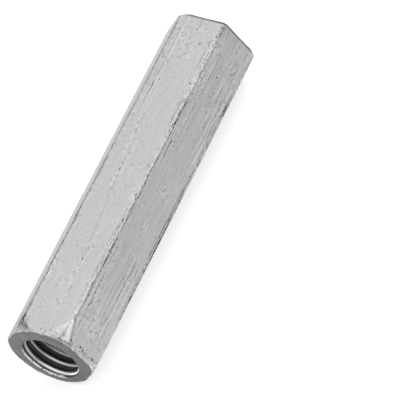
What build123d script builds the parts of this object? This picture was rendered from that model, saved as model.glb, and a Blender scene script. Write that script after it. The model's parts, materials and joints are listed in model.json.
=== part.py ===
from build123d import *
import math
import os

# Coupling nut: a length of hexagon bar with a thread right through it.
# It lies on one flat, with X along the thread, Z up and the origin on the floor under its middle.

# Hexagon bar, with its long ridges rounded
length = 50
across_flats = 11
ridge_radius = 0.45
side_count = 6

# Turned chamfers: how deep each cuts the ridges, and its slope from the end face in degrees
front_chamfer_depth = 0.75
front_chamfer_angle = 55
rear_chamfer_depth = 0.45
rear_chamfer_angle = 48

# The front chamfer runs off centre: how far, and towards which side in degrees from +Y
front_chamfer_shift = 0.2
front_chamfer_side = 50

# Thread: the bore is its minor diameter, which lies this share of the pitch inside the nominal size
thread_diameter = 8
thread_pitch = 1.25
minor_depth_share = 1.0825

# Shallow countersink at both mouths, just wider than the thread
mouth_margin = 0.1
mouth_angle = 150

# Corner knocked off in three facets at the front end of the ridge between the top and side flats.
# Each facet has its reach along that ridge, on the top flat and on the side flat.
strip_on_ridge = 3.6
strip_on_top_flat = 0.85
strip_on_side_flat = 1.1
scoop_on_ridge = 2.95
scoop_on_top_flat = 2.45
scoop_on_side_flat = 0.35
nose_on_ridge = 1.9
nose_on_top_flat = 2.5
nose_on_side_flat = 0.45

# Dent at the front end of the top flat's other ridge, with its reach on the same three edges there
dent_on_ridge = 1.9
dent_on_top_flat = 1.5
dent_on_left_flat = 1.0

# How far a cutting shape runs past the face that it cuts
overrun = 1

half_length = length / 2
flat_reach = across_flats / 2
corner_angle = 360 / side_count
ridge_reach = flat_reach / math.cos(math.radians(corner_angle / 2))
clear_reach = ridge_reach + overrun
bore_radius = (thread_diameter - minor_depth_share * thread_pitch) / 2
mouth_radius = thread_diameter / 2 + mouth_margin


def pointing(angle):
    turn = math.radians(angle)
    return Vector(0, math.cos(turn), math.sin(turn))


def hexagon_bar():
    hexagon = RegularPolygon(flat_reach, side_count, major_radius=False)
    section = fillet(hexagon.vertices(), ridge_radius)
    return extrude(Plane.YZ * section, half_length, both=True)


def turned(points):
    return revolve(Plane.XZ * make_face(Polyline(points, close=True)), Axis.X)


def chamfer_envelope(depth, angle):
    run = (depth + overrun) * math.tan(math.radians(angle))
    return turned([
        (-half_length, 0),
        (-half_length, clear_reach),
        (half_length - run, clear_reach),
        (half_length, ridge_reach - depth),
        (half_length, 0),
    ])


def threaded_bore():
    mouth_depth = (mouth_radius - bore_radius) / math.tan(math.radians(mouth_angle / 2))
    return turned([
        (-half_length - overrun, 0),
        (-half_length - overrun, mouth_radius),
        (-half_length, mouth_radius),
        (-half_length + mouth_depth, bore_radius),
        (half_length - mouth_depth, bore_radius),
        (half_length, mouth_radius),
        (half_length + overrun, mouth_radius),
        (half_length + overrun, 0),
    ])


def facet_plane(ridge_angle, on_ridge, on_next_flat, on_last_flat):
    corner = Vector(half_length, 0, 0) + pointing(ridge_angle) * ridge_reach
    ridge_point = corner - Vector(on_ridge, 0, 0)
    next_point = corner + pointing(ridge_angle + 2 * corner_angle) * on_next_flat
    last_point = corner + pointing(ridge_angle - 2 * corner_angle) * on_last_flat
    across = next_point - ridge_point
    outward = across.cross(last_point - ridge_point)
    return Plane(ridge_point, x_dir=across, z_dir=outward)


front_shift = pointing(front_chamfer_side) * front_chamfer_shift
front_envelope = Pos(front_shift) * chamfer_envelope(front_chamfer_depth, front_chamfer_angle)
rear_envelope = mirror(chamfer_envelope(rear_chamfer_depth, rear_chamfer_angle), about=Plane.YZ)
nut = (hexagon_bar() & front_envelope & rear_envelope) - threaded_bore()

right_ridge = corner_angle
left_ridge = 2 * corner_angle
facets = [
    facet_plane(right_ridge, strip_on_ridge, strip_on_top_flat, strip_on_side_flat),
    facet_plane(right_ridge, scoop_on_ridge, scoop_on_top_flat, scoop_on_side_flat),
    facet_plane(right_ridge, nose_on_ridge, nose_on_top_flat, nose_on_side_flat),
    facet_plane(left_ridge, dent_on_ridge, dent_on_left_flat, dent_on_top_flat),
]
for facet in facets:
    nut = split(nut, bisect_by=facet, keep=Keep.BOTTOM)
nut = Pos(0, 0, flat_reach) * nut

os.makedirs("parts", exist_ok=True)
export_step(nut, "parts/coupling_nut.step")
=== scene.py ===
import bpy
import json
import math
import numpy as np
from mathutils import Matrix, Vector, noise


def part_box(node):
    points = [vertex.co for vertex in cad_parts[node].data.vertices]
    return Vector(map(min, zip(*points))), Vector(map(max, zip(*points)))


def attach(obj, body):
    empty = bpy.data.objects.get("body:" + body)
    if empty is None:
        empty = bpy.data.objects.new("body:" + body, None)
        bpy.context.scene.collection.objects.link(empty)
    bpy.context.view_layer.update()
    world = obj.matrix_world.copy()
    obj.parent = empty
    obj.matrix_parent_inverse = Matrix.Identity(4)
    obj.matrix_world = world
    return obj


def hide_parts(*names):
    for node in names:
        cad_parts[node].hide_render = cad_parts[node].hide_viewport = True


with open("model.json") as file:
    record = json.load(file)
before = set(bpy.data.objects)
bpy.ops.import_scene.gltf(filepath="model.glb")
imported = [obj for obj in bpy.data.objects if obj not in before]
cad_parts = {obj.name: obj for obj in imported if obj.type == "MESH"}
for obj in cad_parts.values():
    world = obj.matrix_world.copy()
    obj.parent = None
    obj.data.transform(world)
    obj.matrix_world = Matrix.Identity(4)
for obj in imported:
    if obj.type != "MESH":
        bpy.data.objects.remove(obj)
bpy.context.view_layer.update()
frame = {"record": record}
mm = 0.001
print("frame loaded")

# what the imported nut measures, in millimetres
lowCorner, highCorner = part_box("coupling_nut")
mounts = {mount["name"]: mount for mount in frame["record"]["mounts"]}
halfLength = (highCorner.x - lowCorner.x) / 2 / mm
flatReach = (highCorner.z - lowCorner.z) / 2 / mm
axisHeight = (highCorner.z + lowCorner.z) / 2 / mm
minorRadius = mounts["front_thread"]["dims"]["r_mm"]

# a hexagon with its first ridge at +Y; angles run from +Y towards +Z
sides = 6
sideAngle = 360 / sides
halfSide = math.radians(sideAngle / 2)
quarterTurn = 90
ridgeReach = flatReach / math.cos(halfSide)
zincSlot, endSlot, threadSlot = 0, 1, 2

barSet = {
    "ridgeRadius": 0.45,
    "flatSteps": 28,             # faces across a flat
    "ridgeSteps": 10,            # faces round a ridge
    "frontChamfers": (0.45, 0.6, 0.85, 0.7, 1.0, 1.0),   # depth on each ridge
    "frontSlope": 55,            # from the end face
    "rearChamfers": (0.45, 0.2, 0.6, 0.5, 0.45, 0.45),
    "rearSlope": 48,
    "knocks": {                  # ridge, then reach along it and on the flats after and before it
        "strip": (60, 3.6, 0.85, 1.1),
        "scoop": (60, 2.95, 2.45, 0.35),
        "nose": (60, 1.9, 2.5, 0.45),
        "dent": (120, 1.9, 1.0, 1.5),
    },
    "leastFacing": 0.2,          # a knocked face cuts only where it faces outwards at least this much
    "blend": 0.012,              # softness where two cuts meet
    "frontRim": (0.45, 0.12),    # length and depth of the end faces' rounded rims
    "rearRim": (0.25, 0.12),
    "rimSteps": 5,
    "rimWear": 0.12,             # raggedness of the front rim
    "rimWearLength": 0.5,
    "rearDip": 0.16,             # how far the rear rim stands back between the ridges
    "frontZone": 4.5,            # finer rows this near to an end
    "rearZone": 1.6,
    "fineStep": 0.07,
    "coarseStep": 0.36,
    "wear": 0.05,                # unevenness of the ridges
    "wearLength": 1.8,
    "knockWear": 0.035,          # unevenness of the knocked faces
    "knockWearLength": 0.7,
    "sharpAngle": 22,
}

threadSet = {
    "pitch": 1.25,
    "majorRadius": 4.05,
    "crestWear": 0.33,           # how far the crests are worn back
    "offset": 0.24,              # the hole runs a little off the middle
    "offsetFacing": 285,
    "crestRound": 0.22,
    "flankSlope": 60,            # from the thread axis
    "profile": (0.0, 0.06, 0.12, 0.18, 0.24, 0.3, 0.4, 0.44),   # rows up to the root, in pitches
    "turnSegments": 72,
    "startAngle": 90,            # where a crest meets the front face
    "runOut": 2.0,               # length of the tap past each face
    "spareTurns": 2,
    "mouthRadius": 4.1,
    "mouthSlope": 75,            # from the thread axis
    "mouthSegments": 96,
}
crestRadius = minorRadius + threadSet["crestWear"]


def pointing(degrees):
    turn = math.radians(degrees)
    return np.array([0, math.cos(turn), math.sin(turn)])


holeMiddle = threadSet["offset"] * pointing(threadSet["offsetFacing"])


def softMin(values, blend):
    stack = np.stack(np.broadcast_arrays(*values))
    least = stack.min(axis=0)
    return least - blend * np.log(np.exp((least - stack) / blend).sum(axis=0))


def roundedHexagon(kit):
    inner = ridgeReach - kit["ridgeRadius"] / math.cos(halfSide)
    points = []
    for corner in range(sides):
        middle = math.radians(sideAngle * corner)
        centre = np.array([math.cos(middle), math.sin(middle)]) * inner
        for step in range(kit["ridgeSteps"] + 1):
            turn = middle + 2 * halfSide * step / kit["ridgeSteps"] - halfSide
            points.append(centre + kit["ridgeRadius"] * np.array([math.cos(turn), math.sin(turn)]))
        following = math.radians(sideAngle * (corner + 1))
        nextCentre = np.array([math.cos(following), math.sin(following)]) * inner
        turn = following - halfSide
        end = nextCentre + kit["ridgeRadius"] * np.array([math.cos(turn), math.sin(turn)])
        start = points[-1]
        for step in range(1, kit["flatSteps"]):
            points.append(start + (end - start) * step / kit["flatSteps"])
    section = np.array(points)
    return np.arctan2(section[:, 1], section[:, 0]), np.hypot(section[:, 0], section[:, 1])


def knockPlane(knock):
    ridge, along, after, before = knock
    corner = np.array([halfLength, 0, 0]) + ridgeReach * pointing(ridge)
    onRidge = corner - np.array([along, 0, 0])
    onAfter = corner + after * pointing(ridge + 2 * sideAngle)
    onBefore = corner + before * pointing(ridge - 2 * sideAngle)
    normal = np.cross(onAfter - onRidge, onBefore - onRidge)
    normal = normal / np.linalg.norm(normal)
    return normal, normal @ onRidge


def knockRadius(x, angle, knock, least):
    normal, reach = knockPlane(knock)
    facing = normal[1] * np.cos(angle) + normal[2] * np.sin(angle)
    room = reach - normal[0] * x
    return np.where(facing > least, room / np.maximum(facing, least), 2 * ridgeReach)


def chamferRadius(x, angle, end, depths, slope):
    turn = np.degrees(angle) / sideAngle % sides
    before = np.floor(turn).astype(int) % sides
    share = (1 - np.cos(np.pi * (turn - np.floor(turn)))) / 2
    depth = np.take(depths, before) * (1 - share) + np.take(depths, (before + 1) % sides) * share
    return ridgeReach - depth + (halfLength - end * x) / math.tan(math.radians(slope))


def onRidgeCircle(turn):
    return Vector((0, math.cos(turn) * ridgeReach, math.sin(turn) * ridgeReach))


def ridgeWear(x, angle, hexRadius, kit):
    ridge = np.clip((hexRadius - flatReach) / (ridgeReach - flatReach), 0, 1) ** 2
    loss = []
    for along, turn in zip(x, angle):
        slow = noise.noise(Vector((along, 0, 0)) / kit["wearLength"] + onRidgeCircle(turn))
        loss.append(kit["wear"] * (slow + 1) / 2)
    return ridge * np.array(loss)


def knockWear(x, angle, kit):
    if x[0] < halfLength - kit["frontZone"]:
        return np.zeros(len(x))
    loss = []
    for along, turn in zip(x, angle):
        spot = Vector((along, 0, 0)) + onRidgeCircle(turn)
        loss.append(kit["knockWear"] * noise.noise(spot / kit["knockWearLength"]))
    return np.array(loss)


def barRadius(x, angle, hexRadius, kit):
    uneven = knockWear(x, angle, kit)
    bounds = [hexRadius - ridgeWear(x, angle, hexRadius, kit)]
    bounds.append(chamferRadius(x, angle, 1, kit["frontChamfers"], kit["frontSlope"]))
    bounds.append(chamferRadius(x, angle, -1, kit["rearChamfers"], kit["rearSlope"]))
    for knock in kit["knocks"].values():
        bounds.append(knockRadius(x, angle, knock, kit["leastFacing"]) - uneven)
    return softMin(bounds, kit["blend"])


def barRows(kit):
    edges = (halfLength - kit["frontRim"][0], -halfLength + kit["rearRim"][0])
    inner = (halfLength - kit["frontZone"], -halfLength + kit["rearZone"])
    front = np.linspace(edges[0], inner[0], round((edges[0] - inner[0]) / kit["fineStep"]) + 1)
    middle = np.linspace(inner[0], inner[1], round((inner[0] - inner[1]) / kit["coarseStep"]) + 1)
    rear = np.linspace(inner[1], edges[1], round((inner[1] - edges[1]) / kit["fineStep"]) + 1)
    return np.concatenate([front, middle[1:-1], rear])


def makeRim(end, angle, hexRadius, kit):
    length, depth = kit["frontRim"] if end > 0 else kit["rearRim"]
    count = len(angle)
    start = barRadius(np.full(count, end * (halfLength - length)), angle, hexRadius, kit)
    outer = barRadius(np.full(count, end * halfLength), angle, hexRadius, kit)
    back = np.zeros(count)
    worn = np.zeros(count)
    if end > 0:
        spots = [onRidgeCircle(turn) / kit["rimWearLength"] for turn in angle]
        worn = np.array([kit["rimWear"] * noise.noise(spot) for spot in spots])
    else:
        back = kit["rearDip"] * (1 - np.cos(sides * angle)) / 2
    rows = []
    for t in np.linspace(0, 1, kit["rimSteps"] + 1)[1:]:
        x = end * (halfLength - length * (1 - t) ** 2) + back * t ** 2
        radius = (1 - t) ** 2 * start + 2 * t * (1 - t) * outer + t ** 2 * (outer - depth - worn)
        rows.append((x, radius))
    return rows


def makeBar(kit):
    angle, hexRadius = roundedHexagon(kit)
    count = len(angle)
    rings = [np.full(count, x) for x in barRows(kit)]
    side = [(ring, barRadius(ring, angle, hexRadius, kit)) for ring in rings]
    ordered = makeRim(1, angle, hexRadius, kit)[::-1] + side + makeRim(-1, angle, hexRadius, kit)
    points = [np.stack([x, r * np.cos(angle), r * np.sin(angle)], axis=1) for x, r in ordered]
    verts = np.concatenate(points)
    faces = []
    for row in range(len(ordered) - 1):
        for i in range(count):
            following = (i + 1) % count
            faces.append((row * count + i, (row + 1) * count + i,
                          (row + 1) * count + following, row * count + following))
    sideFaces = len(faces)
    faces.append(tuple(range(count)))
    last = (len(ordered) - 1) * count
    faces.append(tuple(last + i for i in reversed(range(count))))
    print("bar:", len(verts), "points,", sideFaces, "side faces")
    return makeObject("bar", verts, faces, [zincSlot] * sideFaces + [endSlot, endSlot])


def threadRadius(share, kit):
    away = abs((share + 0.5) % 1 - 0.5) * kit["pitch"]
    slope = math.tan(math.radians(kit["flankSlope"]))
    curve = slope * kit["crestRound"]   # where the rounded crest runs into the flank
    near = min(away, curve)
    rise = near ** 2 / 2 / kit["crestRound"] + (away - near) * slope
    return min(crestRadius + rise, kit["majorRadius"])


def makeTap(kit):
    rising = list(kit["profile"])
    shares = rising + [0.5] + [1 - share for share in reversed(rising[1:])]
    perTurn = len(shares)
    segments = kit["turnSegments"]
    turns = math.ceil(2 * (halfLength + kit["runOut"]) / kit["pitch"]) + kit["spareTurns"]
    behind = math.radians(kit["startAngle"]) / math.tau + turns - kit["spareTurns"]
    first = halfLength - kit["pitch"] * behind
    rowCount = perTurn * turns
    verts = []
    for row in range(rowCount):
        share = row // perTurn + shares[row % perTurn]
        radius = threadRadius(share, kit)
        for i in range(segments):
            angle = math.tau * i / segments
            x = first + kit["pitch"] * (share + i / segments)
            verts.append((x, radius * math.cos(angle), radius * math.sin(angle)))
    faces = []
    for row in range(rowCount - 1):
        for i in range(segments):
            across = row * segments + i + 1 if i < segments - 1 else (row + perTurn) * segments
            acrossNext = across + segments
            if acrossNext < rowCount * segments:
                faces.append((row * segments + i, across, acrossNext, (row + 1) * segments + i))
    startLoop = list(range(segments)) + [row * segments for row in range(perTurn, 0, -1)]
    lastRow = rowCount - 1
    endLoop = [row * segments + segments - 1 for row in range(lastRow - perTurn, lastRow)]
    endLoop += [lastRow * segments + i for i in reversed(range(segments))]
    for loop in (startLoop, endLoop):
        centre = len(verts)
        verts.append((np.mean([verts[i][0] for i in loop]), 0, 0))
        faces += [(a, centre, b) for a, b in zip(loop, loop[1:] + loop[:1])]
    print("tap:", len(verts), "points,", len(faces), "faces")
    return makeObject("tap", np.array(verts) + holeMiddle, faces, [threadSlot] * len(faces))


def makeMouth(end, kit):
    slope = math.tan(math.radians(kit["mouthSlope"]))
    depth = (kit["mouthRadius"] - crestRadius) / slope
    rings = [(halfLength + depth, kit["mouthRadius"] + depth * slope), (halfLength - depth, crestRadius)]
    count = kit["mouthSegments"]
    verts = []
    for x, radius in rings:
        for i in range(count):
            turn = math.tau * i / count
            verts.append((end * x, radius * math.cos(turn), end * radius * math.sin(turn)))
    faces = [(i, count + i, count + (i + 1) % count, (i + 1) % count) for i in range(count)]
    faces.append(tuple(range(count)))
    faces.append(tuple(count + i for i in reversed(range(count))))
    return makeObject("mouth", np.array(verts) + holeMiddle, faces, [endSlot] * len(faces))


def makeObject(name, verts, faces, slots):
    mesh = bpy.data.meshes.new(name)
    placed = (np.asarray(verts, float) + np.array([0, 0, axisHeight])) * mm
    mesh.from_pydata(placed.tolist(), [], faces)
    for slot in (zincSlot, endSlot, threadSlot):
        mesh.materials.append(None)
    mesh.polygons.foreach_set("material_index", slots)
    mesh.update()
    thing = bpy.data.objects.new(name, mesh)
    bpy.context.scene.collection.objects.link(thing)
    return thing


def cutFrom(body, cutter):
    cut = body.modifiers.new("cut", "BOOLEAN")
    cut.operation = "DIFFERENCE"
    cut.solver = "MANIFOLD"
    cut.object = cutter
    evaluated = body.evaluated_get(bpy.context.evaluated_depsgraph_get())
    result = bpy.data.meshes.new_from_object(evaluated)
    body.modifiers.remove(cut)
    old = body.data
    body.data = result
    bpy.data.meshes.remove(old)
    bpy.data.objects.remove(cutter)


nut = makeBar(barSet)
cutFrom(nut, makeTap(threadSet))
cutFrom(nut, makeMouth(1, threadSet))
cutFrom(nut, makeMouth(-1, threadSet))
nut.name = "coupling_nut_finish"
nut.data.name = "coupling_nut_finish"
nut.data.shade_smooth()
nut.data.set_sharp_from_angle(angle=math.radians(barSet["sharpAngle"]))
print("nut:", len(nut.data.vertices), "points,", len(nut.data.polygons), "faces")

halfway = 0.5   # noise and streaks run from 0 to 1


# short ways to place shader nodes
def put(tree, kind, inputs=None, **settings):
    node = tree.nodes.new("ShaderNode" + kind)
    for name, value in settings.items():
        setattr(node, name, value)
    for name, value in (inputs or {}).items():
        if isinstance(value, bpy.types.NodeSocket):
            tree.links.new(value, node.inputs[name])
        else:
            node.inputs[name].default_value = value
    return node


def calc(tree, operation, first, second=0.0, third=0.0):
    return put(tree, "Math", {0: first, 1: second, 2: third}, operation=operation).outputs[0]


def times(tree, first, second):
    return calc(tree, "MULTIPLY", first, second)


def addShare(tree, value, share, base):   # base plus a share of value
    return calc(tree, "MULTIPLY_ADD", value, share, base)


def ramp(tree, value, low, high, toLow=0.0, toHigh=1.0):
    span = {"Value": value, "From Min": low, "From Max": high, "To Min": toLow, "To Max": toHigh}
    return put(tree, "MapRange", span, interpolation_type="SMOOTHSTEP").outputs["Result"]


def fade(tree, value, low, high):
    return ramp(tree, value, low, high, 1.0, 0.0)


def dot(tree, vector, direction):
    return put(tree, "VectorMath", {0: vector, 1: direction}, operation="DOT_PRODUCT").outputs["Value"]


def towards(tree, place, facing):
    return dot(tree, place, tuple(pointing(facing)))


def greyColour(tree, value):
    return put(tree, "CombineColor", {0: value, 1: value, 2: value}).outputs[0]


def newGroup(name, inputs, output):
    group = bpy.data.node_groups.new(name, "ShaderNodeTree")
    for label, kind, value in inputs:
        socket = group.interface.new_socket(label, in_out="INPUT", socket_type="NodeSocket" + kind)
        if value is not None:
            socket.default_value = value
    group.interface.new_socket(output, in_out="OUTPUT", socket_type="NodeSocketFloat")
    start = group.nodes.new("NodeGroupInput")
    end = group.nodes.new("NodeGroupOutput")
    return group, start.outputs, end.inputs


def stretched(tree, vector, width, stretch):
    split = put(tree, "SeparateXYZ", {0: vector})
    along = calc(tree, "DIVIDE", calc(tree, "DIVIDE", split.outputs["X"], width), stretch)
    across = calc(tree, "DIVIDE", split.outputs["Y"], width)
    up = calc(tree, "DIVIDE", split.outputs["Z"], width)
    return put(tree, "CombineXYZ", {0: along, 1: across, 2: up}).outputs[0]


def makeDrawLines():   # streaks along the bar, or patches when they are wide and short
    group, given, out = newGroup("drawLines", [
        ("Vector", "Vector", None), ("Width", "Float", 0.2), ("Stretch", "Float", 20.0),
        ("Low", "Float", 0.4), ("High", "Float", 0.6)], "Lines")
    place = stretched(group, given["Vector"], given["Width"], given["Stretch"])
    grain = put(group, "TexNoise", {"Vector": place, "Scale": 1.0, "Detail": 3.0, "Roughness": 0.6})
    lines = ramp(group, grain.outputs["Fac"], given["Low"], given["High"])
    group.links.new(lines, out["Lines"])
    return group


def makeMetalGrain():   # fine grain, light and dark about zero
    group, given, out = newGroup("metalGrain", [
        ("Vector", "Vector", None), ("Width", "Float", 0.2), ("Stretch", "Float", 1.0)], "Grain")
    place = stretched(group, given["Vector"], given["Width"], given["Stretch"])
    grain = put(group, "TexNoise", {"Vector": place, "Scale": 1.0, "Detail": 2.0, "Roughness": 0.6})
    group.links.new(calc(group, "SUBTRACT", grain.outputs["Fac"], halfway), out["Grain"])
    return group


def makeRidgeDistance():   # how far a point of a flat lies from the nearest long ridge
    group, given, out = newGroup("ridgeDistance", [("Vector", "Vector", None)], "Distance")
    reach = []
    for side in range(sides // 2):
        facing = sideAngle * (side + 0.5)
        reach.append(calc(group, "ABSOLUTE", towards(group, given["Vector"], facing)))
    more = calc(group, "MAXIMUM", reach[0], reach[1])
    less = calc(group, "MINIMUM", reach[0], reach[1])
    most = calc(group, "MAXIMUM", more, reach[2])
    second = calc(group, "MAXIMUM", less, calc(group, "MINIMUM", more, reach[2]))
    gap = calc(group, "SUBTRACT", most, second)
    group.links.new(calc(group, "DIVIDE", gap, math.sin(2 * halfSide)), out["Distance"])
    return group


markSet = {
    "below": (0.6, 0.3),     # a mark fades out between these depths below its flat
    "endFade": 1.1,          # where its ends and sides have faded, in half lengths and half widths
    "sideFade": 1.15,
}


def makePlacedMark(kit):   # one soft-edged mark or zone at a set place on one flat
    group, given, out = newGroup("placedMark", [
        ("Vector", "Vector", None), ("Facing", "Vector", None), ("Across", "Vector", None),
        ("Middle", "Float", 0.0), ("Half Length", "Float", 1.0), ("Offset", "Float", 0.0),
        ("Half Width", "Float", 0.1), ("Slant", "Float", 0.0), ("Core", "Float", 0.5)], "Mark")
    outward = dot(group, given["Vector"], given["Facing"])
    onFlat = ramp(group, outward, flatReach - kit["below"][0], flatReach - kit["below"][1])
    along = put(group, "SeparateXYZ", {0: given["Vector"]}).outputs["X"]
    beyond = calc(group, "SUBTRACT", along, given["Middle"])
    away = calc(group, "DIVIDE", calc(group, "ABSOLUTE", beyond), given["Half Length"])
    across = dot(group, given["Vector"], given["Across"])
    middleLine = addShare(group, beyond, given["Slant"], given["Offset"])
    aside = calc(group, "ABSOLUTE", calc(group, "SUBTRACT", across, middleLine))
    aside = calc(group, "DIVIDE", aside, given["Half Width"])
    ends = fade(group, away, given["Core"], kit["endFade"])
    edges = fade(group, aside, given["Core"], kit["sideFade"])
    group.links.new(times(group, times(group, ends, edges), onFlat), out["Mark"])
    return group


placedMark = makePlacedMark(markSet)
drawLines = makeDrawLines()
metalGrain = makeMetalGrain()
ridgeDistance = makeRidgeDistance()


def useGroup(tree, group, inputs):
    return put(tree, "Group", inputs, node_tree=group).outputs[0]


def streaks(tree, place, setting):
    width, stretch, low, high = setting
    return useGroup(tree, drawLines, {"Vector": place, "Width": width, "Stretch": stretch,
                                      "Low": low, "High": high})


def newMetal(name):
    material = bpy.data.materials.new(name)
    material.use_nodes = True
    tree = material.node_tree
    shader = tree.nodes["Principled BSDF"]
    coordinates = put(tree, "TexCoord").outputs["Object"]
    middle = (0, 0, axisHeight * mm)
    centred = put(tree, "VectorMath", {0: coordinates, 1: middle}, operation="SUBTRACT").outputs[0]
    place = put(tree, "VectorMath", {0: centred, 3: 1 / mm}, operation="SCALE").outputs[0]
    return material, tree, shader, place


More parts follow.
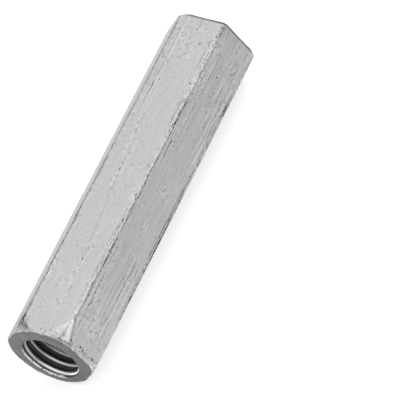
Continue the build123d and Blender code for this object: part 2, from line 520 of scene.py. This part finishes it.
zincSet = {
    "grey": 0.5,
    "rough": 0.42,
    "busyRough": 0.06,
    "edgeTint": 0.75,
    "busy": [               # flat, from and to along the nut, from and to across the flat, strength
        (90, -27, -16, 0.0, 6.3, 0.3),
        (90, -21, -17, 2.3, 4.6, 0.35),
        (90, -13, -1, 1.2, 2.5, 0.7),
        (90, -6, 8, 2.0, 3.1, 0.7),
        (90, 6, 24.5, 3.0, 4.4, 0.6),
        (90, 12, 20, 0.2, 0.9, 0.6),
        (30, -25, -9, 3.6, 6.1, 0.35),
        (30, -25, -19, 0.2, 1.6, 0.6),
        (30, -20, -11, 0.2, 1.6, 0.6),
        (30, -12, -1, 0.4, 1.8, 0.7),
        (30, -1.5, 1.5, 2.0, 4.0, 0.7),
        (30, 3, 7.5, 2.0, 4.0, 0.7),
        (30, 8.5, 19, 3.6, 6.0, 0.7),
        (30, 9, 23, 0.3, 2.0, 0.7),
        (30, 17, 23.5, 0.5, 5.5, 0.9),
    ],
    "streaky": [            # where the draw lines stand out, given in the same way
        (30, -26, -3, 3.2, 6.2, 1.0),
        (30, -26, -8, 0.2, 2.2, 0.7),
        (30, 7, 25, 3.2, 6.0, 0.6),
        (90, -26, -7, 4.4, 6.3, 0.6),
        (90, -26, -7, 0.4, 1.9, 1.0),
    ],
    "dark": [               # broad darker places: dull metal, and painted shade along the lower ridge, over the far half of the side flat and on the flat at 150 degrees
        (90, 22.7, 27.0, -0.6, 1.1, 0.6),
        # painted shade along the lower ridge (this line and the next two)
        (30, -26, 26, 5.8, 6.7, 0.5),
        (30, -9, 10, 5.6, 6.7, 0.35),
        (30, -23.5, -5, 5.75, 6.15, 0.4),
        (30, -25, 10, 0.0, 0.35, 0.45),
        (30, -10.6, -8.7, 0.0, 0.4, 0.35),
        (90, -6, 22.5, -0.3, 0.35, 0.4),
        (90, -3, 24, 5.6, 6.6, 0.42),
        (90, -27, -3, 5.6, 6.6, 0.15),
        (30, -27, -16, 2.2, 5.8, 0.12),
        # painted shade along the lower ridge
        (30, -27, 7, 5.75, 6.7, 0.45),
        # painted shade: the flat at 150 degrees darkened where it reflects the floor
        (150, 19.5, 31, -1.0, 7.4, 0.65),
        (30, -21, -12, 1.6, 3.7, 0.14),
        # painted shade: the far half of the side flat darker
        (30, -42, -5, -1.0, 7.5, 0.12),
        (30, 12.5, 17, 2.2, 3.7, 0.14),
    ],
    # lighter places: scuffed metal and painted light towards the front of the side flat, and a painted
    # highlight along its upper ridge
    "bright": [
        (30, 24.3, 25.6, 0.6, 6.2, 1.6),
        (30, 12, 28, -1.0, 7.5, 0.6),
        (30, 9, 22, 0.5, 0.75, 1.0),
        (30, 15, 24.5, 0.05, 0.9, 1.2),
        (30, -27, 17, 0.05, 0.8, 0.5),
        (30, 9, 20, 3.85, 4.15, 0.6),
    ],
    "scores": [             # flat, from and to along the nut, how far across at both, strength
        (90, -22.5, -7.5, 1.12, 1.12, 0.5),
        (90, -21.2, -19.4, 1.12, 1.12, 0.4),
        (90, -14.6, -11.6, 1.14, 1.14, 0.5),
        (90, -12.4, 24.0, 1.65, 4.45, 0.3),
        (90, -9.0, -5.3, 2.0, 2.0, 0.4),
        (90, -23.2, -16.3, 5.55, 5.6, 0.6),
        (90, -12.7, -7.8, 5.75, 5.75, 0.5),
        (90, -5.5, 1.0, 5.8, 5.8, 0.4),
        (90, -25.2, -23.3, 3.2, 3.25, 0.6),
        (90, 24.1, 25.0, 0.75, 1.5, 1.6),
        (30, -22.2, -7.8, 1.55, 1.5, 0.6),
        (30, -24.8, -22.7, 1.1, 1.1, 0.6),
        (30, -7.8, -2.5, 0.75, 0.85, 0.8),
        (30, -7.9, -5.2, 2.2, 2.2, 0.6),
        (30, 7.8, 21.6, 0.28, 0.28, 1.0),
        (30, 12.8, 22.7, 1.0, 1.0, 1.0),
        (30, 7.8, 15.0, 1.85, 2.15, 0.4),
        (30, 8.8, 22.7, 3.75, 3.75, 0.45),
        (30, -17.7, -9.5, 4.45, 4.45, 0.5),
        (30, -5.0, -3.7, 4.4, 4.4, 0.6),
        (30, 7.8, 20.2, 4.45, 4.45, 0.8),
        (30, -14.5, -9.3, 5.45, 5.45, 0.5),
        (30, -5.0, 13.0, 5.8, 5.8, 0.6),
        # painted shade: a dark line along the lower ridge
        (30, -5.0, 22.7, 6.2, 6.2, 1.2),
        (30, 24.0, 24.7, 2.95, 1.8, 1.2),
        (30, 24.1, 24.7, 3.2, 4.4, 0.9),
        (30, 24.1, 24.7, 5.4, 4.4, 0.9),
    ],
    "shines": [             # bright scores
        (90, -24.0, -8.0, 1.32, 1.32, 0.6),
        (30, -24.3, -17.8, 0.45, 0.45, 0.8),
        (30, -22.7, -19.8, 0.9, 0.9, 0.6),
        (30, -24.2, -7.3, 1.36, 1.33, 0.8),
        (30, -24.7, -8.8, 3.82, 3.82, 0.6),
        (30, -20.2, -3.8, 5.25, 5.25, 0.8),
        (30, -4.5, -2.5, 0.6, 0.6, 0.8),
    ],
    "spots": [              # flat, how far along the nut and across the flat, strength
        (90, -17.8, 0.7, 1.0), (90, -15.5, 0.7, 0.7), (90, -17.3, 1.6, 0.8), (90, -14.5, 1.65, 0.8),
        (90, -18.1, 2.6, 0.8), (90, -21.0, 4.4, 0.9), (90, -14.9, 5.75, 1.2), (90, -4.3, 4.0, 0.35),
        (90, -1.2, 3.7, 0.35), (90, 3.2, 3.35, 0.4), (90, 17.3, 1.1, 0.6), (90, 24.3, 3.0, 0.8),
        (30, -20.8, 1.45, 1.0), (30, -18.0, 2.6, 1.0), (30, -16.0, 3.3, 0.8), (30, -20.0, 4.5, 0.7),
        (30, 6.2, 1.7, 0.7), (30, 10.3, 0.95, 0.8), (30, 17.5, 2.1, 0.8), (30, 18.4, 4.4, 0.9),
        (30, 20.2, 5.0, 0.8), (30, 22.5, 5.4, 0.9), (30, 24.1, 1.1, 1.0), (30, 24.1, 2.75, 1.8),
        (30, 24.2, 3.3, 1.5), (30, 24.15, 5.2, 1.5),
    ],
    "cores": {"busy": 0.0, "streaky": 0.2, "dark": 0.5, "bright": 0.4, "scores": 0.3, "spots": 0.3},
    "scoreWidth": 0.24,
    "spotLength": 0.36,
    "spotWidth": 0.28,
    "wobbleScale": 1.6,             # how the marks wander from their places
    "ragged": (1.2, 0.35, 0.35),
    "steady": (0.8, 0.1, 0.1),
    "patches": (1.5, 2.0, 0.45, 0.62),   # streaks: width, stretch, from where and to where they rise
    "lines": (0.2, 22.0, 0.2, 0.8),
    "fineLines": (0.11, 60.0, 0.25, 0.75),
    "gaps": (0.5, 2.0, 0.35, 0.6),       # gaps in the scores
    "bruises": (0.45, 0.6, 0.5, 0.6),
    "fineShare": 0.6,
    "lineMiddle": 0.8,
    "gapShare": 0.85,
    "grain": (0.12, 4.2),           # width and stretch
    "speck": (0.13, 1.5),
    "speckMiddle": 0.485,
    "speckReach": (0.1, 1.3),       # from the ridges
    "speckAlong": (-9.0, 1.0),      # specks thin out towards the front
    "speckFront": 0.5,
    "speckSide": (-1.5, 0.5),       # and keep to the +Y side
    "speckShare": 0.9,
    "fleckFrom": 0.05,
    "fleckShare": 1.5,
    "grainShare": 0.3,
    "fleckMiddle": 0.04,
    "busyFlecks": (3.4, 0.35),      # on busy places, and everywhere
    "busyLines": 0.3,
    "streak": 0.16,
    "topStreak": -0.08,             # the top flat has weaker lines
    "topBand": (0.4, 0.1),
    "streakyShare": 0.22,
    "patchBusy": 0.25,
    "ridgeBusy": 0.5,
    "dentBusy": 0.4,
    "mostBusy": 1.1,
    "ridgeBand": (0.1, 0.8),
    "edgeBand": (0.05, 0.45),
    # painted shade: darker ridges that dim their highlight
    "ridgeDark": 0.45,
    "lineBreaks": 0.5,              # lines and grain break up the grime and painted shade
    "breakBand": (-0.15, 0.1),
    "leastGrimeAndShade": 0.25,
    "rimBlots": 0.75,               # dark bruises behind the front rim
    "rimBlotFacing": 35,
    "rimBlotSpan": (3.0, 4.6),
    "rimBlotBand": (1.3, 0.8),
    # painted shade where the rear rim turns away
    "rearDark": 0.68,
    "rearBand": (0.2, 0.5),
    "knockBand": (0.06, 0.02),
    "seamBand": (0.02, 0.06),
    "seamDepth": 0.09,
    "knockSeams": {"strip": 0.9, "nose": 0.5, "dent": 0.35},
    # the knocked faces' tones: burnished metal with a painted highlight on strip and scoop, painted shade
    # on nose and dent, and painted shade that dims the crease's highlight
    "knockShines": {"strip": 0.4, "scoop": 0.2, "nose": -0.3, "dent": -0.24},
    "creaseShine": -0.9,
    "brightShare": 0.12,
    "grimeAndShadeShare": -0.45,
    "scoreShare": -0.6,
    "shineShare": -0.3,
    "bumpLines": 0.5,
    "bumpStrength": 0.2,
    "bumpDepth": 0.05,
}


def placeMark(tree, place, flat, start, end, offset, width, slant, core):
    return useGroup(tree, placedMark, {
        "Vector": place, "Facing": tuple(pointing(flat)), "Across": tuple(pointing(flat - quarterTurn)),
        "Middle": (start + end) / 2, "Half Length": (end - start) / 2,
        "Offset": offset - ridgeReach / 2, "Half Width": width / 2, "Slant": slant, "Core": core})


def placedZones(tree, place, zones, core):
    total = 0.0
    for flat, start, end, near, far, strength in zones:
        mark = placeMark(tree, place, flat, start, end, (near + far) / 2, far - near, 0.0, core)
        total = addShare(tree, mark, strength, total)
    return total


def placedScores(tree, place, scores, width, core):
    total = 0.0
    for flat, start, end, near, far, strength in scores:
        slant = (far - near) / (end - start)
        mark = placeMark(tree, place, flat, start, end, (near + far) / 2, width, slant, core)
        total = addShare(tree, mark, strength, total)
    return total


def placedSpots(tree, place, kit):
    length, width = kit["spotLength"] / 2, kit["spotWidth"] / 2
    zones = [(flat, along - length, along + length, across - width, across + width, strength)
             for flat, along, across, strength in kit["spots"]]
    return placedZones(tree, place, zones, kit["cores"]["spots"])


def wander(tree, place, kit):   # places shifted a lot and a little, so that edges aren't straight
    wobble = put(tree, "TexNoise", {"Vector": place, "Scale": kit["wobbleScale"], "Detail": 1.0})
    level = (halfway, halfway, halfway)
    shift = put(tree, "VectorMath", {0: wobble.outputs["Color"], 1: level}, operation="SUBTRACT").outputs[0]
    moved = [put(tree, "VectorMath", {0: shift, 1: kit[reach], 2: place}, operation="MULTIPLY_ADD")
             for reach in ("ragged", "steady")]
    return moved[0].outputs[0], moved[1].outputs[0]


def knockMask(tree, place, name, kit):
    normal, reach = knockPlane(barSet["knocks"][name])
    height = dot(tree, place, tuple(normal))
    return ramp(tree, height, reach - kit["knockBand"][0], reach - kit["knockBand"][1])


def knockSeam(tree, place, name, kit):
    normal, reach = knockPlane(barSet["knocks"][name])
    below = calc(tree, "SUBTRACT", dot(tree, place, tuple(normal)), reach - kit["seamDepth"])
    return fade(tree, calc(tree, "ABSOLUTE", below), *kit["seamBand"])


def zincFlecks(tree, place, along, distance, grain, kit):
    low = calc(tree, "MINIMUM", calc(tree, "ADD", grain, kit["fleckFrom"]), 0.0)
    flecks = addShare(tree, grain, kit["grainShare"], times(tree, low, kit["fleckShare"]))
    flecks = calc(tree, "ADD", flecks, kit["fleckMiddle"])
    speckPlace = stretched(tree, place, *kit["speck"])
    speck = put(tree, "TexNoise", {"Vector": speckPlace, "Scale": 1.0, "Detail": 2.0}).outputs["Fac"]
    speck = calc(tree, "SUBTRACT", speck, kit["speckMiddle"])
    speck = times(tree, speck, fade(tree, distance, *kit["speckReach"]))
    speck = times(tree, speck, ramp(tree, along, *kit["speckAlong"], 1.0, kit["speckFront"]))
    speck = times(tree, speck, ramp(tree, towards(tree, place, 0), *kit["speckSide"]))
    return addShare(tree, speck, kit["speckShare"], flecks)


def zincScores(tree, place, steady, kit):
    width, core = kit["scoreWidth"], kit["cores"]["scores"]
    kept = addShare(tree, streaks(tree, place, kit["gaps"]), kit["gapShare"], 1 - kit["gapShare"])
    scored = times(tree, placedScores(tree, steady, kit["scores"], width, core), kept)
    scored = calc(tree, "ADD", scored, placedSpots(tree, steady, kit))
    shines = placedScores(tree, steady, kit["shines"], width, core)
    return addShare(tree, shines, kit["shineShare"], scored)


def rimBruises(tree, place, along, kit):
    far, near = kit["rimBlotBand"]
    bruised = streaks(tree, place, kit["bruises"])
    bruised = times(tree, bruised, ramp(tree, along, halfLength - far, halfLength - near))
    return times(tree, bruised, ramp(tree, towards(tree, place, kit["rimBlotFacing"]), *kit["rimBlotSpan"]))


def drawnZinc(kit):
    material, tree, shader, place = newMetal("drawnZinc")
    split = put(tree, "SeparateXYZ", {0: place}).outputs
    along, cores = split["X"], kit["cores"]
    ragged, steady = wander(tree, place, kit)
    distance = useGroup(tree, ridgeDistance, {"Vector": steady})
    width, stretch = kit["grain"]
    grain = useGroup(tree, metalGrain, {"Vector": place, "Width": width, "Stretch": stretch})
    lines = calc(tree, "SUBTRACT", streaks(tree, place, kit["lines"]), kit["lineMiddle"])
    lines = addShare(tree, streaks(tree, place, kit["fineLines"]), kit["fineShare"], lines)

    # the knocked faces, and the rest of the bar
    masks = {name: knockMask(tree, place, name, kit) for name in barSet["knocks"]}
    sound = calc(tree, "SUBTRACT", 1.0, calc(tree, "MAXIMUM", masks["strip"], masks["scoop"]))
    # burnished tone with painted highlight, and painted shade, on the knocked faces
    shining = times(tree, times(tree, masks["strip"], masks["scoop"]), kit["creaseShine"])
    for name, share in kit["knockShines"].items():
        shining = addShare(tree, masks[name], share, shining)
    seams = 0.0
    for name, share in kit["knockSeams"].items():
        seams = addShare(tree, knockSeam(tree, place, name, kit), share, seams)

    # how speckled each place is
    busy = placedZones(tree, ragged, kit["busy"], cores["busy"])
    busy = addShare(tree, streaks(tree, place, kit["patches"]), kit["patchBusy"], busy)
    busy = addShare(tree, fade(tree, distance, *kit["ridgeBand"]), kit["ridgeBusy"], busy)
    busy = calc(tree, "MINIMUM", busy, kit["mostBusy"])
    busy = times(tree, addShare(tree, masks["dent"], kit["dentBusy"], busy), sound)

    # darker edges and places: dull metal, and painted shade along the ridges and flats, broken up by the
    # lines
    breaks = addShare(tree, lines, kit["lineBreaks"], grain)
    breaks = ramp(tree, breaks, *kit["breakBand"], 1.0, kit["leastGrimeAndShade"])
    # painted shade along the ridges, dimming their highlight
    edge = ramp(tree, distance, *kit["edgeBand"], kit["ridgeDark"], 0.0)
    grimeAndShade = calc(tree, "ADD", placedZones(tree, ragged, kit["dark"], cores["dark"]), edge)
    grimeAndShade = times(tree, times(tree, grimeAndShade, breaks), sound)
    grimeAndShade = addShare(tree, seams, breaks, grimeAndShade)
    grimeAndShade = addShare(tree, rimBruises(tree, place, along, kit), kit["rimBlots"], grimeAndShade)

    # all of it together, as a share of the plain grey
    flecks = zincFlecks(tree, place, along, distance, grain, kit)
    onBusy, everywhere = kit["busyFlecks"]
    tone = addShare(tree, flecks, addShare(tree, busy, onBusy, everywhere), 1.0)
    below, within = kit["topBand"]
    onTop = ramp(tree, split["Z"], flatReach - below, flatReach - within)
    streak = addShare(tree, onTop, kit["topStreak"], kit["streak"])
    streaky = placedZones(tree, ragged, kit["streaky"], cores["streaky"])
    streak = addShare(tree, streaky, kit["streakyShare"], streak)
    tone = addShare(tree, lines, addShare(tree, busy, kit["busyLines"], streak), tone)
    bright = placedZones(tree, ragged, kit["bright"], cores["bright"])
    tone = addShare(tree, bright, kit["brightShare"], tone)
    tone = addShare(tree, grimeAndShade, kit["grimeAndShadeShare"], tone)
    tone = addShare(tree, zincScores(tree, place, steady, kit), kit["scoreShare"], tone)
    tone = calc(tree, "ADD", tone, shining)
    # painted shade along the rear rim
    start, end = kit["rearBand"]
    rearRim = ramp(tree, along, start - halfLength, end - halfLength, kit["rearDark"], 0.0)
    tone = times(tree, tone, calc(tree, "SUBTRACT", 1.0, rearRim))
    tree.links.new(greyColour(tree, times(tree, tone, kit["grey"])), shader.inputs["Base Color"])

    rough = addShare(tree, busy, kit["busyRough"], kit["rough"])
    tree.links.new(rough, shader.inputs["Roughness"])
    shader.inputs["Metallic"].default_value = 1
    shader.inputs["Specular Tint"].default_value = (kit["edgeTint"], kit["edgeTint"], kit["edgeTint"], 1)
    height = times(tree, addShare(tree, lines, kit["bumpLines"], grain), busy)
    bump = put(tree, "Bump", {"Height": height, "Strength": kit["bumpStrength"],
                              "Distance": kit["bumpDepth"] * mm})
    tree.links.new(bump.outputs["Normal"], shader.inputs["Normal"])
    return material


def fromHole(tree, place):   # place and distance from the hole's own axis
    moved = put(tree, "VectorMath", {0: place, 1: tuple(holeMiddle)}, operation="SUBTRACT").outputs[0]
    split = put(tree, "SeparateXYZ", {0: moved}).outputs
    flat = put(tree, "CombineXYZ", {1: split["Y"], 2: split["Z"]}).outputs[0]
    radius = put(tree, "VectorMath", {0: flat}, operation="LENGTH").outputs["Value"]
    return moved, radius


endSet = {
    # dark grey of the end faces: partly the cut metal's own tone, partly painted shade
    "grey": 0.16,
    "rough": 0.5,
    "patches": (0.9, 1.0, 0.3, 0.7),
    "patchShare": 0.25,
    "grainScale": 4.5,
    "grainShare": 0.8,
    "ringWidth": 0.16,      # turning marks
    "ringShare": 0.3,
    "lipFacing": 272,       # where a painted highlight lies along the mouth's edge
    "lipSpan": (3.85, 4.0),
    "lipInner": (4.04, 4.1),
    "lipOuter": (4.17, 4.27),
    "lipGrey": 0.7,
    "lipGaps": (0.35, 1.0, 0.42, 0.5),
}


def turnedEnd(kit):
    material, tree, shader, place = newMetal("turnedEnd")
    place, radius = fromHole(tree, place)
    patches = calc(tree, "SUBTRACT", streaks(tree, place, kit["patches"]), halfway)
    grain = useGroup(tree, metalGrain, {"Vector": place, "Width": 1 / kit["grainScale"], "Stretch": 1.0})
    ringPlace = calc(tree, "DIVIDE", radius, kit["ringWidth"])
    rings = put(tree, "TexNoise", {"W": ringPlace, "Scale": 1.0, "Detail": 1.0}, noise_dimensions="1D")
    rings = calc(tree, "SUBTRACT", rings.outputs["Fac"], halfway)
    tone = addShare(tree, patches, kit["patchShare"], 1.0)
    tone = addShare(tree, grain, kit["grainShare"], tone)
    tone = addShare(tree, rings, kit["ringShare"], tone)
    tone = times(tree, tone, kit["grey"])
    # a painted highlight along the mouth's edge, broken into pieces
    lip = times(tree, ramp(tree, radius, *kit["lipInner"]), fade(tree, radius, *kit["lipOuter"]))
    lip = times(tree, lip, ramp(tree, towards(tree, place, kit["lipFacing"]), *kit["lipSpan"]))
    lip = times(tree, lip, streaks(tree, place, kit["lipGaps"]))
    tone = addShare(tree, lip, kit["lipGrey"], tone)
    tree.links.new(greyColour(tree, tone), shader.inputs["Base Color"])
    shader.inputs["Roughness"].default_value = kit["rough"]
    shader.inputs["Metallic"].default_value = 1
    return material


threadFinish = {
    "crestGrey": 0.95,
    "innerCrestGrey": 0.72,
    "innerFrom": (0.6, 1.2),     # how far in the crests change from one to the other, darker further in as painted shade
    "flankGrey": 0.06,
    "rootGrey": 0.14,
    "rootBand": (0.15, 0.02),
    "crestMiddle": 0.06,         # shares of the pitch
    "crestEdge": (0.12, 0.22),
    "brightFacing": 300,         # the side where the crests catch the light
    "brightSpan": (-0.5, 3.2),
    "dullShare": 0.45,
    "rough": 0.35,
    "grooveRough": 0.7,
    "lipFacing": 230,            # the side of the mouth's edge with the painted highlight
    "lipSpan": (1.9, 2.9),
    "lipDepth": 0.2,
    "wideLipFacing": 190,
    "wideLipSpan": (2.0, 3.8),
    "wideLipDepth": 0.32,
    "lipFade": 0.03,
    "lipGrey": 1.0,
    "lipGaps": (0.7, 1.0, 0.38, 0.47),
    "deepFrom": (2.5, 3.1),      # how far in the crests turn darker, painted shade deeper in the hole
    "deepCrestShare": 0.55,
    "dullFrom": (2.74, 2.86),    # a matt pale band further in, painted light, measured along the thread
    "dullTo": (4.0, 4.12),
    "dullGrey": 0.95,
}


def cutThread(kit):
    material, tree, shader, place = newMetal("cutThread")
    place, radius = fromHole(tree, place)
    split = put(tree, "SeparateXYZ", {0: place}).outputs
    pitch = threadSet["pitch"]
    turn = calc(tree, "DIVIDE", calc(tree, "ARCTAN2", split["Z"], split["Y"]), math.tau)
    along = calc(tree, "DIVIDE", calc(tree, "SUBTRACT", split["X"], halfLength), pitch)
    middle = kit["crestMiddle"] - math.radians(threadSet["startAngle"]) / math.tau
    share = calc(tree, "SUBTRACT", calc(tree, "SUBTRACT", along, turn), middle)
    away = calc(tree, "ABSOLUTE", calc(tree, "WRAP", share, 0.5, -0.5))
    inside = calc(tree, "SUBTRACT", halfLength, calc(tree, "ABSOLUTE", split["X"]))

    # painted highlight on the crests and painted shade in the grooves
    rise, full = kit["rootBand"]
    rootFrom, rootTo = threadSet["majorRadius"] - rise, threadSet["majorRadius"] - full
    groove = ramp(tree, radius, rootFrom, rootTo, kit["flankGrey"], kit["rootGrey"])
    crest = ramp(tree, inside, *kit["innerFrom"], kit["crestGrey"], kit["innerCrestGrey"])
    facing = towards(tree, place, kit["brightFacing"])
    crest = times(tree, crest, ramp(tree, facing, *kit["brightSpan"], kit["dullShare"], 1.0))
    crest = times(tree, crest, ramp(tree, inside, *kit["deepFrom"], 1.0, kit["deepCrestShare"]))
    grey = ramp(tree, away, *kit["crestEdge"], crest, groove)

    # the mouth's edge: a painted highlight, broken into pieces
    wide = towards(tree, place, kit["wideLipFacing"])
    lipReach = ramp(tree, wide, *kit["wideLipSpan"], kit["lipDepth"], kit["wideLipDepth"])
    lip = ramp(tree, calc(tree, "SUBTRACT", lipReach, inside), -kit["lipFade"], kit["lipFade"])
    lip = times(tree, lip, ramp(tree, towards(tree, place, kit["lipFacing"]), *kit["lipSpan"]))
    lip = times(tree, lip, streaks(tree, place, kit["lipGaps"]))
    grey = calc(tree, "MINIMUM", addShare(tree, lip, kit["lipGrey"], grey), kit["lipGrey"])

    # a matt pale band further in, painted light
    lead = addShare(tree, turn, pitch, calc(tree, "SUBTRACT", halfLength, split["X"]))
    dull = times(tree, ramp(tree, lead, *kit["dullFrom"]), fade(tree, lead, *kit["dullTo"]))
    grey = ramp(tree, dull, 0.0, 1.0, grey, kit["dullGrey"])

    tree.links.new(greyColour(tree, grey), shader.inputs["Base Color"])
    rough = ramp(tree, away, *kit["crestEdge"], kit["rough"], kit["grooveRough"])
    tree.links.new(rough, shader.inputs["Roughness"])
    tree.links.new(calc(tree, "SUBTRACT", 1.0, dull), shader.inputs["Metallic"])
    slope = calc(tree, "MINIMUM", inside, lipReach)
    bevel = put(tree, "Bump", {"Height": slope, "Strength": 1.0, "Distance": mm})
    tree.links.new(bevel.outputs["Normal"], shader.inputs["Normal"])
    return material


nut.data.materials[zincSlot] = drawnZinc(zincSet)
nut.data.materials[endSlot] = turnedEnd(endSet)
nut.data.materials[threadSlot] = cutThread(threadFinish)
print("finishes made")
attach(nut, "root")
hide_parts("coupling_nut")

studioSet = {
    "floorSize": 4.0,
    "floorGrey": 0.95,
    "floorGlow": 0.38,       # lifts the floor to white in the picture and leaves a faint shadow
    "horizonLight": 0.6,
    "zenithLight": 0.92,
    "screenSpan": (0.3, 0.85),   # a low dark screen shades the sky on the +Y side
    "screenShare": 0.12,
    "softboxSize": 1.4,
    "softboxPlace": (-0.2, 0.1, 1.0),
    "softboxPower": 4.0,
}


def makeFloor(kit):
    size = kit["floorSize"] / 2
    corners = [(-size, -size, 0), (size, -size, 0), (size, size, 0), (-size, size, 0)]
    mesh = bpy.data.meshes.new("floor")
    mesh.from_pydata(corners, [], [(0, 1, 2, 3)])
    floor = bpy.data.objects.new("floor", mesh)
    bpy.context.scene.collection.objects.link(floor)
    paper = bpy.data.materials.new("whitePaper")
    paper.use_nodes = True
    tree = paper.node_tree
    shader = tree.nodes["Principled BSDF"]
    grey = kit["floorGrey"]
    shader.inputs["Base Color"].default_value = (grey, grey, grey, 1)
    shader.inputs["Roughness"].default_value = 1
    shader.inputs["Specular IOR Level"].default_value = 0
    rays = put(tree, "LightPath").outputs
    mirrored = calc(tree, "ADD", rays["Is Glossy Ray"], rays["Is Transmission Ray"])
    seen = calc(tree, "MAXIMUM", rays["Is Camera Ray"], mirrored)
    shader.inputs["Emission Color"].default_value = (1, 1, 1, 1)
    tree.links.new(times(tree, seen, kit["floorGlow"]), shader.inputs["Emission Strength"])
    mesh.materials.append(paper)


def makeLights(kit):
    lamp = bpy.data.lights.new("softbox", "AREA")
    lamp.shape = "SQUARE"
    lamp.size = kit["softboxSize"]
    lamp.energy = kit["softboxPower"]
    softbox = bpy.data.objects.new("softbox", lamp)
    bpy.context.scene.collection.objects.link(softbox)
    softbox.location = kit["softboxPlace"]
    softbox.rotation_euler = (-softbox.location).to_track_quat("-Z", "Y").to_euler()

    world = bpy.data.worlds.new("studio")
    bpy.context.scene.world = world
    world.use_nodes = True
    tree = world.node_tree
    background = tree.nodes["Background"]
    sky = put(tree, "SeparateXYZ", {0: put(tree, "TexCoord").outputs["Generated"]}).outputs
    span = {"Value": sky["Z"], "To Min": kit["horizonLight"], "To Max": kit["zenithLight"]}
    level = put(tree, "MapRange", span).outputs["Result"]
    low = calc(tree, "SUBTRACT", sky["Y"], sky["Z"])
    screened = ramp(tree, low, *kit["screenSpan"], 1.0, kit["screenShare"])
    tree.links.new(times(tree, level, screened), background.inputs["Strength"])
    background.inputs["Color"].default_value = (1, 1, 1, 1)


cameraSet = {
    "lens": 360,
    "sensor": 36,
    "clipStart": 0.01,
    "distance": 503.9,
    "aim": (-3.05, 7.80, 3.72),
    "azimuth": 38.41,        # from +X towards +Y
    "elevation": 54.19,
    "roll": 17.62,           # clockwise
}


def makeCamera(kit):
    azimuth = math.radians(kit["azimuth"])
    elevation = math.radians(kit["elevation"])
    back = Vector((math.cos(elevation) * math.cos(azimuth), math.cos(elevation) * math.sin(azimuth),
                   math.sin(elevation)))
    aim = Vector(kit["aim"])
    data = bpy.data.cameras.new("camera")
    data.lens = kit["lens"]
    data.sensor_width = kit["sensor"]
    data.clip_start = kit["clipStart"]
    camera = bpy.data.objects.new("camera", data)
    bpy.context.scene.collection.objects.link(camera)
    level = back.to_track_quat("Z", "Y").to_matrix()
    turned = level @ Matrix.Rotation(-math.radians(kit["roll"]), 3, "Z")
    camera.matrix_world = Matrix.Translation((aim + back * kit["distance"]) * mm) @ turned.to_4x4()
    bpy.context.scene.camera = camera


makeFloor(studioSet)
makeLights(studioSet)
makeCamera(cameraSet)
bpy.context.scene.view_settings.view_transform = "Standard"
print("studio and camera set")
